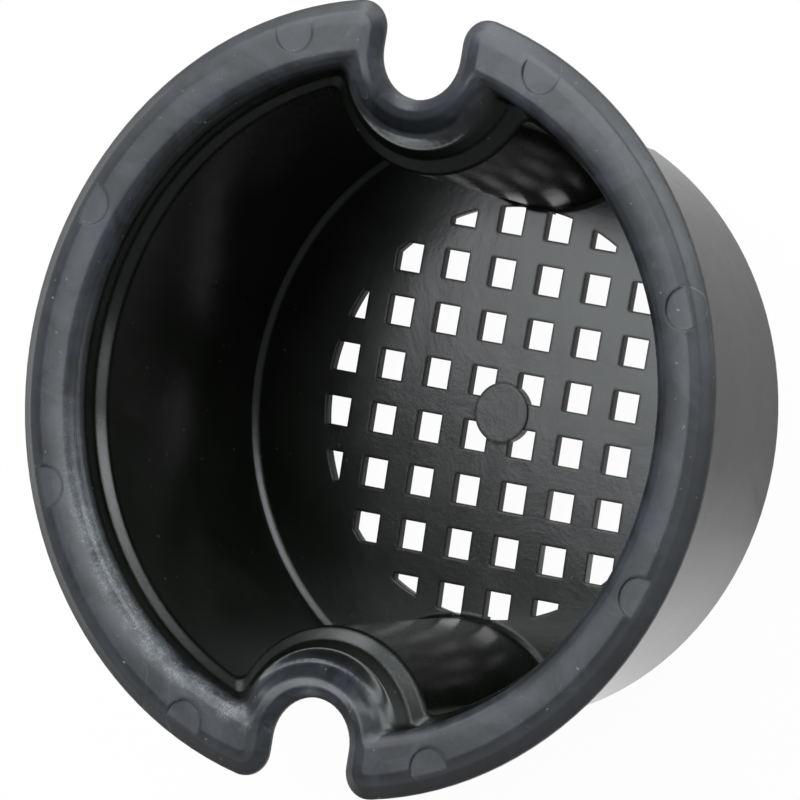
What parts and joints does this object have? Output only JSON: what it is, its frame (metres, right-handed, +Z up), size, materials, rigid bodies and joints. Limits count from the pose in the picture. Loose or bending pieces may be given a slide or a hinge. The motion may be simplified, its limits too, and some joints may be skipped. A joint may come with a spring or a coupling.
{
  "type": "floor drain strainer",
  "caption": "Moulded plastic strainer basket with a notched flange, drafted wall with grooves and a domed floor with a grid of square holes.",
  "frame": {"origin": "centre of the flat resting ring under the floor", "axes": "+Z up the axis of the basket towards its open top; the two notches in the flange lie on +Y and -Y"},
  "size_m": [0.15, 0.1472, 0.0565],
  "materials": {
    "strainer_basket": "satin black polypropylene as moulded"
  },
  "bodies": {
    "root": {"strainer_basket": "strainer_basket"}
  },
  "joints": []
}
